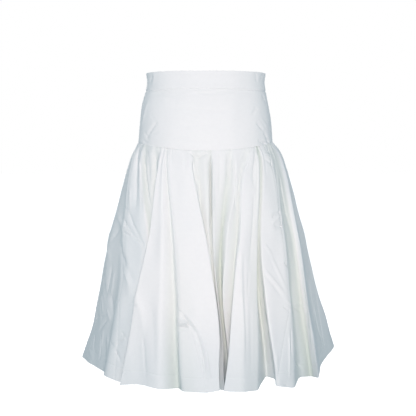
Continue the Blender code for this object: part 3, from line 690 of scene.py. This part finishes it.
def wave_table():
    draw = np.random.default_rng(WAVE_SEED)
    length = WAVE_LENGTH[0] * (WAVE_LENGTH[1] / WAVE_LENGTH[0]) ** draw.random(WAVES)
    turn = draw.uniform(0, 2 * math.pi, WAVES)
    lean = draw.normal(0, WAVE_LEAN, WAVES)
    size = 2 * math.pi / length
    waves = np.stack((size * np.cos(turn), size * np.sin(turn), size * lean / WAVE_STRETCH), axis=-1)
    heights = WAVE_HEIGHT * (length / WAVE_LENGTH[0]) ** WAVE_GROWTH
    return waves, draw.uniform(0, 2 * math.pi, WAVES), heights


WAVE_VECTORS, WAVE_PHASES, WAVE_HEIGHTS = wave_table()


def waved(points):
    return (np.sin(points @ WAVE_VECTORS.T + WAVE_PHASES) * WAVE_HEIGHTS).sum(axis=-1) / math.sqrt(WAVES)


# ---- seams and hem
SEAM_GROOVE = 0.6
BAND_GROOVE = 1.7
YOKE_GROOVE = 0.3
SEAM_WIDTH = 2.2
ROLL_HEIGHT = 0.7  # the gathers stand out in a small roll just under the yoke
ROLL_DEPTH = 3.5
ROLL_WIDTH = 3.0
TUCK_IN = 2.1  # how far cloth goes in and up under the piece above it
TUCK_UP = 3.0
PUCKER = 0.22
PUCKER_LENGTH = 8.5
PUCKER_DRIFT = 1.7  # how unevenly they are spaced, and over what length
DRIFT_LENGTH = 23.0
PUCKER_REACH = 7.0
OTHER_SIDE = 3.0  # how far the puckers at the right seam lie along from the left's
HEM_STITCH = 0.5
HEM_STITCH_WIDTH = 1.5


def run_along(points, axis):
    """Length along the cloth from the first point of each row (axis 1) or column (axis 0)."""
    steps = np.linalg.norm(np.diff(points, axis=axis), axis=-1)
    return np.cumsum(np.insert(steps, 0, 0, axis=axis), axis=axis)


def seam_pucker(gap, along):
    """Small puckers beside a sewn seam, by the distance from it and along it."""
    wave = np.sin(2 * math.pi * along / PUCKER_LENGTH + PUCKER_DRIFT * np.sin(along / DRIFT_LENGTH))
    return PUCKER * wave * np.exp(-(gap / PUCKER_REACH) ** 2)


def seam_rise(gap, along, groove=SEAM_GROOVE):
    """A sewn seam's puckers and its groove."""
    return seam_pucker(gap, along) - groove * np.exp(-(gap / SEAM_WIDTH) ** 2)


def side_seams(across, downward):
    return seam_rise(across, downward) + seam_rise(across[:, -1:] - across, downward + OTHER_SIDE)


# ---- painted shade in the folds
# Painted shade at a fold: greener and duller, as shade deep in a fold (up to 1), or bluer and duller,
# as shade on a panel turned from the lamps (down to -1). Columns: fold; at the yoke seam, the middle
# and the hem. Folds without a row get no painted shade and look white.
FOLD_SHADES = (
    ("left_side_dip", -0.1, -0.4, 0),
    ("left_godet_dip", 0, -0.3, 0),
    ("left_godet_ridge", 0, -0.6, -0.4),
    ("gather_valley_a", 0, -0.8, -0.6),
    ("gather_ridge_a", 0.1, -0.8, 0),
    ("gather_valley_b", 0.25, 0.5, 0.5),
    ("gather_ridge_b", 0.05, 0.3, 0.5),
    ("gather_valley_c", 0.2, 0.3, 0.5),
    ("godet_fold_valley", 0.1, 0.2, 0.6),
    ("godet_fold_ridge", 0, 0.05, 0.2),
    ("main_fold_valley", 0.2, 0.3, 0.2),
    ("centre_ridge_a", 0.1, 0.2, 0.1),
    ("centre_valley", 0.25, 0.4, 0.2),
    ("centre_ridge_b", 0, 0.1, 0),
    ("centre_ridge_c", 0, 0.3, 0.2),
    ("deep_valley", 0.15, 0.7, 0.3),
    ("centre_fold_edge", 0, 0.1, 0),
    ("centre_face_valley", 0.1, 0.4, 0.3),
    ("right_face_crease", 0.05, 0, 0.05),
    ("right_panel_edge", 0.1, 0.2, 0.1),
    ("right_valley", 0.8, 0.8, 0.25),
    ("right_valley_floor", 0.6, 0.5, 0),
    ("bright_panel_right", 0.1, 0.05, 0.05),
    ("side_valley", 0.3, 0.4, 0.3),
    ("side_valley_floor", 0.3, 0.5, 0.7),
    ("right_blade", 0, -1, -1),
    ("right_corner_valley", 0.05, 0.05, 0.1),
    ("back_right_pleat_a", 0.3, 0.6, 0.7),
    ("back_right_dip", 0.2, 0.4, 0.5),
    ("back_right_pleat_b", 0.4, 0.6, 0.8),
    ("back_centre_dip", 0.2, 0.4, 0.6),
    ("back_left_pleat_b", 0.4, 0.6, 0.7),
    ("left_behind_corner", 0.1, 0.3, 0.5),
)
# The back's pleats and their floors all get the same painted shade.
BACK_PLEATS = (
    "right_back_pleat", "back_right_floor_b", "back_pleat", "back_left_pleat_a", "back_left_floor",
)
FOLD_SHADES += tuple((pleat, 0.3, 0.5, 0.7) for pleat in BACK_PLEATS)
FOLD_SHADES += tuple((floor, 0.2, 0.5, 0.7) for floor in ("back_right_floor_a", "back_pleat_floor"))
SHADE_VALUES = np.zeros((3, FOLD_COUNT))
for shaded_fold, *shades in FOLD_SHADES:
    SHADE_VALUES[:, FOLD_INDEX[shaded_fold]] = shades


def fold_shade_at(around, down):
    """Painted shade at places round the cloth, by the folds on both sides of each."""
    lines = curve_at(KEY_PLACES, SHADE_VALUES, down)
    fold = np.floor(around).astype(int)
    rows = np.arange(len(down))[:, None]
    before, after = lines[rows, fold % FOLD_COUNT], lines[rows, (fold + 1) % FOLD_COUNT]
    return mixed(before, after, ease(around - fold))


# ---- meshes
SHARP_EDGE = 62  # degrees between faces past which an edge is sharp
UV_UNIT = 10.0  # the cloth's UVs are in centimetres


def add_object(name, data):
    made = bpy.data.objects.new(name, data)
    bpy.context.scene.collection.objects.link(made)
    return made


def shell(name, node, outer, normal, wall, valley, cool):
    """Closed shell of cloth between its outer points and the same points moved in by its wall."""
    rows, columns = outer.shape[:2]
    inner = outer - normal * wall[:, None, None]
    verts = np.concatenate((outer.reshape(-1, 3), inner.reshape(-1, 3))) * MM
    index = np.arange(rows * columns).reshape(rows, columns)
    back = index + rows * columns

    def quads(a, b, c, d):
        return np.stack((a, b, c, d), axis=-1).reshape(-1, 4)

    faces = np.concatenate((
        quads(index[:-1, :-1], index[1:, :-1], index[1:, 1:], index[:-1, 1:]),
        quads(back[:-1, :-1], back[:-1, 1:], back[1:, 1:], back[1:, :-1]),
        quads(index[0, :-1], index[0, 1:], back[0, 1:], back[0, :-1]),
        quads(index[-1, 1:], index[-1, :-1], back[-1, :-1], back[-1, 1:]),
        quads(index[:-1, 0], back[:-1, 0], back[1:, 0], index[1:, 0]),
        quads(index[:-1, -1], index[1:, -1], back[1:, -1], back[:-1, -1]),
    ))
    mesh = bpy.data.meshes.new(name)
    mesh.from_pydata(verts.tolist(), [], faces.tolist())
    mesh.shade_smooth()
    mesh.set_sharp_from_angle(angle=math.radians(SHARP_EDGE))

    across = run_along(outer, 1)
    across -= across[:, columns // 2][:, None]
    downward = run_along(outer, 0)
    places = np.stack((across, downward), axis=-1).reshape(-1, 2)
    places = np.concatenate((places, places))
    corner_verts = np.empty(len(mesh.loops), int)
    mesh.loops.foreach_get("vertex_index", corner_verts)
    layer = mesh.uv_layers.new(name="cloth")
    layer.data.foreach_set("uv", (places[corner_verts] / UV_UNIT).ravel())
    # valley and cool carry painted shade to the material, as point attributes.
    for kind, values in (("valley", valley), ("cool", cool)):
        layer = mesh.attributes.new(kind, "FLOAT", "POINT")
        layer.data.foreach_set("value", np.concatenate((values.ravel(), values.ravel())))

    piece = add_object(name, mesh)
    mesh.materials.append(COTTON)
    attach(piece, "root")
    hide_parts(node)
    return piece


# Shares of the way down over which the normals tilt, the waves rise and the hem's fold thickens.
LEVEL_REACH = 0.012
WAVE_REACH = 0.08
HEM_FOLD_REACH = 0.006


def level_normal(normal, down):
    """Turn the normals level along the yoke seam, so that the cloth hangs straight out of it."""
    turned = normal.copy()
    turned[..., 2] *= ease(down / LEVEL_REACH)[:, None]
    return unit(turned)


SKIRT_LINES = [skirt_crease(row) for row in SKIRT_CREASES] + seam_gathers()
BODY_LINES = [body_crease(row) for row in BODY_CREASES]


def tucked_in(outer, *others):
    """Add a row on top that goes up under the piece above, so that no gap shows at the seam."""
    normal = others[0]
    tuck = outer[:1] - normal[:1] * TUCK_IN + np.array((0, 0, TUCK_UP))
    return [np.concatenate((tuck, outer))] + [np.concatenate((rows[:1], rows)) for rows in others]


def skirt_piece(node, places, down, top_seam):
    """Shell of one gore or godet."""
    base = skirt_point(places, down)
    normal = level_normal(outward(places, down), down)
    across, downward = run_along(base, 1), run_along(base, 0)
    rise = waved(base) * ease(down / WAVE_REACH)[:, None]
    rise += crease_rise(base, places, SKIRT_LINES)
    if top_seam:
        rise += ROLL_HEIGHT * np.exp(-((downward - ROLL_DEPTH) / ROLL_WIDTH) ** 2)
        rise += seam_pucker(downward, across)
    rise += side_seams(across, downward)
    to_stitch = (down - HEM_FOLD_TOP) * SKIRT_LENGTH
    rise -= HEM_STITCH * np.exp(-(to_stitch / HEM_STITCH_WIDTH) ** 2)[:, None]
    outer = base + normal * rise[..., None]
    wall = mixed(SKIRT_WALL, HEM_WALL, ease((down - HEM_FOLD_TOP) / HEM_FOLD_REACH))
    # Painted shade: greener deep in the folds, and a bluer shade towards the hem, where less light
    # falls, and on folds whose shade is below 0.
    shade = fold_shade_at(places, down)
    cool = ease((down - PAINTED_HEM_SHADE_TOP) / (1 - PAINTED_HEM_SHADE_TOP))[:, None] - shade.clip(-1, 0)
    if top_seam:
        outer, normal, wall, shade, cool = tucked_in(outer, normal, wall, shade, cool)
    piece = shell("cloth_" + node, node, outer, normal, wall, shade.clip(0, 1), cool)


def make_skirt():
    for number, godet in enumerate(GODETS):
        next_godet = GODETS[(number + 1) % len(GODETS)]
        first, last = FOLD_INDEX[godet[1]], FOLD_INDEX[next_godet[1]]
        last += FOLD_COUNT if last <= first else 0
        places = gore_places(first, godet_spreads(godet)[1], last, godet_spreads(next_godet)[0])
        skirt_piece("gore_%02d" % (number + 1), places, ROWS, True)
    for godet in GODETS:
        places = godet_places(FOLD_INDEX[godet[1]], *godet_spreads(godet))
        skirt_piece(godet[0], places, GODET_ROWS, False)


BODY_RADIUS = 140.0  # about, for the number of columns
BODY_EDGE = np.array((0.0, 0.006, 0.015, 0.03))  # where the rows beside a panel's edges lie
BODY_WAVES = 0.5  # how high the slow waves are here, next to the skirt's


def body_piece(node, first, last, top_depth, bottom_depth, wall):
    """Shell of one panel of the waistband or yoke."""
    columns = round(math.radians(last - first) * BODY_RADIUS / GRID)
    angle = np.radians(np.linspace(first, last, columns + 1))
    top, bottom = top_depth(angle), bottom_depth(angle)
    count = round((bottom - top).max() / GRID)
    share = np.concatenate((BODY_EDGE, np.linspace(0, 1, count + 1)[1:-1], 1 - BODY_EDGE[::-1]))
    depth = top + (bottom - top) * share[:, None]
    angle = np.broadcast_to(angle, depth.shape)
    base = body_point(angle, depth)
    normal = np.stack((np.sin(angle), -np.cos(angle), np.zeros_like(angle)), axis=-1)
    across, downward = run_along(base, 1), run_along(base, 0)
    rise = waved(base) * BODY_WAVES
    rise += crease_rise(base, None, BODY_LINES)
    rise += side_seams(across, downward)
    under_band = top[0] > 0
    rise += seam_rise(downward[-1:] - downward, across, YOKE_GROOVE if under_band else BAND_GROOVE)
    if under_band:
        rise += seam_rise(downward, across, BAND_GROOVE)
    outer = base + normal * rise[..., None]
    walls = np.full(len(share), wall)
    if under_band:
        outer, normal, walls = tucked_in(outer, normal, walls)
    plain = np.zeros(outer.shape[:2])
    piece = shell("cloth_" + node, node, outer, normal, walls, plain, plain)


def level(depth):
    """An edge at one depth all round."""
    return lambda angle: np.full_like(angle, depth)


def make_body():
    for place, first, last in BODY_PANELS:
        body_piece("waistband_" + place, first, last, level(0), level(BAND_DEPTH - SEAM_GAP), BAND_WALL)
        body_piece("yoke_" + place, first, last, level(BAND_DEPTH), seam_depth, YOKE_WALL)


# ---- cotton, with painted shade
CLOTH_COLOUR = (0.86, 0.868, 0.875, 1)
# Painted shade: the greener colour is mixed in deep in the folds, and the bluer one is multiplied in at
# the sides and towards the hem.
PAINTED_FOLD_SHADE_COLOUR = (0.63, 0.695, 0.625, 1)
PAINTED_COOL_SHADE_COLOUR = (0.875, 0.915, 0.93, 1)
PAINTED_HEM_SHADE_TOP = 0.62  # share of the way down where the painted shade towards the hem starts
MOTTLE_SCALE = 1.1
MOTTLE_TONES = (0.975, 1.015)
THREADS = (("X", 8.32), ("Y", 7.68))  # direction and scale
THREAD_UNEVENNESS = 0.8
WEAVE_STRENGTH = 0.12
WEAVE_DEPTH = 0.0002  # metres
FINISH = {
    "Roughness": 0.62,
    "Specular IOR Level": 0.32,
    "Sheen Weight": 0.12,
    "Sheen Roughness": 0.45,
}


def set_inputs(node, values):
    for socket, value in values.items():
        node.inputs[socket].default_value = value


def cotton():
    """Crisp plain-weave white cotton, with painted shade: a little greener in its deep folds and bluer
    at its sides and towards the hem.
    """
    material = bpy.data.materials.new("white_cotton_cloth")
    material.use_nodes = True
    nodes, links = material.node_tree.nodes, material.node_tree.links
    shader = nodes["Principled BSDF"]

    def node(kind, output, inputs, **settings):
        """Output of a new node. Its inputs are values or the outputs of other nodes."""
        made = nodes.new("ShaderNode" + kind)
        for key, value in settings.items():
            setattr(made, key, value)
        for socket, value in inputs.items():
            if isinstance(value, bpy.types.NodeSocket):
                links.new(value, made.inputs[socket])
            else:
                made.inputs[socket].default_value = value
        return made.outputs[output]

    place = node("UVMap", "UV", {}, uv_map="cloth")
    # Painted shade: the valley attribute mixes in the greener shade of deep folds, and the cool one
    # multiplies in the bluer shade of the sides and the hem.
    valley = node("Attribute", "Fac", {}, attribute_name="valley")
    cool = node("Attribute", "Fac", {}, attribute_name="cool")
    shaded = node("Mix", "Result", {"Factor": valley, "A": CLOTH_COLOUR, "B": PAINTED_FOLD_SHADE_COLOUR},
                  data_type="RGBA")
    with_painted_cool_shade = node("Mix", "Result", {"Factor": cool, "A": shaded, "B": PAINTED_COOL_SHADE_COLOUR},
                  data_type="RGBA", blend_type="MULTIPLY")
    mottle = node("TexNoise", "Fac", {"Vector": place, "Scale": MOTTLE_SCALE, "Detail": 4})
    low, high = MOTTLE_TONES
    tone = node("MapRange", "Result", {"Value": mottle, "To Min": low, "To Max": high})
    toned = node("VectorMath", "Vector", {0: with_painted_cool_shade, "Scale": tone}, operation="SCALE")
    links.new(toned, shader.inputs["Base Color"])

    threads = []
    for direction, scale in THREADS:
        inputs = {"Vector": place, "Scale": scale, "Distortion": THREAD_UNEVENNESS, "Detail": 1.0}
        threads.append(node("TexWave", "Fac", inputs, bands_direction=direction))
    weave = node("Math", 0, {0: threads[0], 1: threads[1]}, operation="MULTIPLY")
    bump = node("Bump", "Normal", {"Height": weave, "Strength": WEAVE_STRENGTH, "Distance": WEAVE_DEPTH})
    links.new(bump, shader.inputs["Normal"])
    set_inputs(shader, FINISH)
    return material


COTTON = cotton()


# ---- studio and camera
def area_light(name, place, target, size, power, colour, spread):
    light = bpy.data.lights.new(name, "AREA")
    light.shape = "SQUARE"
    light.size = size
    light.energy = power
    light.color = colour
    light.spread = math.radians(spread)
    lamp = add_object(name, light)
    lamp.location = place
    lamp.visible_camera = False
    aim = mathutils.Vector(target) - mathutils.Vector(place)
    lamp.rotation_euler = aim.to_track_quat("-Z", "Y").to_euler()


AMBIENT = 0.445
AMBIENT_COLOUR = (0.72, 0.905, 1.0, 1)
LAMP_COLOUR = (1.0, 0.85, 0.805)
SIDE_COLOUR = (0.9, 0.96, 1.0)
# Columns: name; where it is and what it points at; size, power, colour, and spread in degrees.
LAMPS = (
    ("key", (0.1, -3.0, 0.1), (0, 0, -0.25), 1.5, 10.6, LAMP_COLOUR, 110),
    ("front", (0, -2.7, -0.3), (0, 0, -0.35), 0.4, 7.3, LAMP_COLOUR, 110),
    ("back", (-0.3, 3.0, 0.5), (0, 0, -0.35), 1.8, 52, LAMP_COLOUR, 160),
    ("left", (-1.1, -0.7, 0.3), (-0.15, 0, -0.2), 0.6, 0.95, SIDE_COLOUR, 120),
    ("right", (1.1, -0.7, 0.3), (0.15, 0, -0.2), 0.6, 0.8, SIDE_COLOUR, 120),
)
FLOOR_DEPTH = 1.03  # the waist of someone who stands is about this high
FLOOR_REACH = 30.0
FLOOR_CORNERS = [(-1, -1), (1, -1), (1, 1), (-1, 1)]
WHITE = (1, 1, 1, 1)
FLOOR_PAINT = {
    "Base Color": (0.5, 0.5, 0.5, 1),
    "Roughness": 0.9,
    "Specular IOR Level": 0.0,
    "Emission Color": WHITE,
    "Emission Strength": 1.0,
}


def make_world():
    """Soft cool light all round, and plain white where the camera looks past the floor."""
    world = bpy.data.worlds.new("studio")
    bpy.context.scene.world = world
    world.use_nodes = True
    nodes, links = world.node_tree.nodes, world.node_tree.links
    soft = nodes["Background"]
    set_inputs(soft, {"Color": AMBIENT_COLOUR, "Strength": AMBIENT})
    white = nodes.new("ShaderNodeBackground")
    set_inputs(white, {"Color": WHITE})
    ray = nodes.new("ShaderNodeLightPath")
    mix = nodes.new("ShaderNodeMixShader")
    links.new(ray.outputs["Is Camera Ray"], mix.inputs["Fac"])
    links.new(soft.outputs[0], mix.inputs[1])
    links.new(white.outputs[0], mix.inputs[2])
    links.new(mix.outputs[0], nodes["World Output"].inputs["Surface"])


def make_floor():
    mesh = bpy.data.meshes.new("floor")
    corners = [(x * FLOOR_REACH, y * FLOOR_REACH, -FLOOR_DEPTH) for x, y in FLOOR_CORNERS]
    mesh.from_pydata(corners, [], [(0, 1, 2, 3)])
    floor = add_object("floor", mesh)
    paint = bpy.data.materials.new("floor_white")
    paint.use_nodes = True
    set_inputs(paint.node_tree.nodes["Principled BSDF"], FLOOR_PAINT)
    mesh.materials.append(paint)
    floor.visible_diffuse = False
    floor.visible_glossy = False


CAMERA_DISTANCE = 2.3
CAMERA_DEPTH = 0.186  # below the waist
FRAME_PIXELS = 416
FOCAL_PIXELS = 938.8
CENTRE_PIXEL = 205.6  # where the camera's axis falls in the photograph's frame
LEVEL_PIXEL = 150.0
SENSOR = 36.0


def make_camera():
    camera = bpy.data.cameras.new("camera")
    camera.sensor_width = SENSOR
    camera.lens = FOCAL_PIXELS / FRAME_PIXELS * SENSOR
    camera.shift_x = (FRAME_PIXELS / 2 - CENTRE_PIXEL) / FRAME_PIXELS
    camera.shift_y = (LEVEL_PIXEL - FRAME_PIXELS / 2) / FRAME_PIXELS
    holder = add_object("camera", camera)
    holder.location = (0, -CAMERA_DISTANCE, -CAMERA_DEPTH)
    holder.rotation_euler = (math.radians(90), 0, 0)
    bpy.context.scene.camera = holder
    bpy.context.scene.view_settings.view_transform = "Standard"


make_camera()
make_body()
make_skirt()
make_world()
make_floor()
for lamp_row in LAMPS:
    area_light(*lamp_row)
